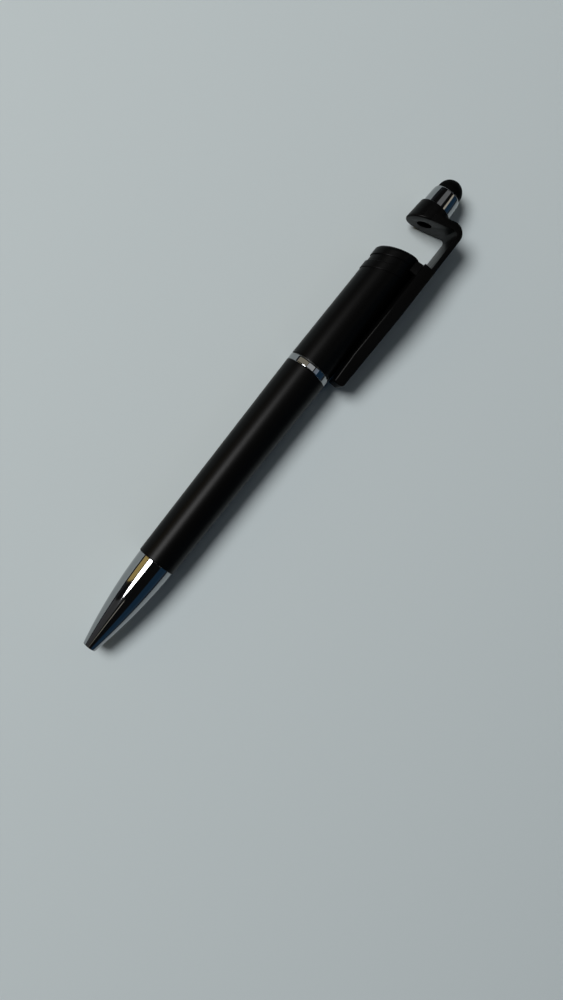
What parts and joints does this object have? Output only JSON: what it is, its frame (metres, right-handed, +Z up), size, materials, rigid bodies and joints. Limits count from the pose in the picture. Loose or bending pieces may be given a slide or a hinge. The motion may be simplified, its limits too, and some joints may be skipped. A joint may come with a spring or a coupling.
{
  "type": "twist ballpoint pen",
  "caption": "Slim twist ballpoint pen with a chrome nose and ring, a pocket clip, and a slide-out arm with a rubber stylus that opens a slanted phone slot.",
  "frame": {"origin": "on the table, below the middle of the box that the lying pen takes, with the arm pulled out", "axes": "+X along the pen from the writing point to the stylus, -Y towards the clip's side, +Z up"},
  "size_m": [0.1598, 0.0164, 0.0125],
  "materials": {
    "satin_black_abs": "satin moulded ABS, near black",
    "chrome_plate": "bright chrome plate",
    "conductive_rubber": "matte conductive silicone rubber",
    "black_acetal": "moulded acetal",
    "white_acetal": "moulded acetal",
    "turned_brass": "turned brass",
    "spring_steel": "drawn steel",
    "clear_polypropylene": "translucent natural polypropylene",
    "ink": "dark blue ink paste"
  },
  "bodies": {
    "lower": {"nose_cone": "chrome_plate", "nose_bush": "turned_brass", "lower_barrel": "satin_black_abs", "center_ring": "chrome_plate", "thrust_washer": "black_acetal", "guide_sleeve": "white_acetal", "retaining_ring": "spring_steel", "refill_spring": "spring_steel"},
    "upper": {"upper_barrel": "satin_black_abs", "clip_cap": "satin_black_abs", "twist_driver": "white_acetal"},
    "refill": {"plunger": "white_acetal", "refill_tube": "clear_polypropylene", "refill_ink": "ink", "refill_point": "turned_brass", "point_ball": "spring_steel"},
    "arm": {"slide_arm": "satin_black_abs", "stylus_ferrule": "chrome_plate", "stylus_tip": "conductive_rubber", "stylus_core": "black_acetal"}
  },
  "joints": [
    {"name": "barrel_twist", "type": "hinge", "parent": "lower", "child": "upper", "pos_m": [0, 0.00191, 0.00625], "axis": [1, 0, 0], "range_deg": [0, 180]},
    {"name": "refill_slide", "type": "slide", "parent": "lower", "child": "refill", "axis": [-1, 0, 0], "range_m": [0, 0.0045], "deforming": ["refill_spring"]},
    {"name": "arm_slide", "type": "slide", "parent": "upper", "child": "arm", "axis": [-1, 0, 0], "range_m": [0, 0.0108]}
  ],
  "couplings": [
    {"joint": "refill_slide", "follows": "barrel_twist", "m_per_rad": 0.0014324}
  ]
}
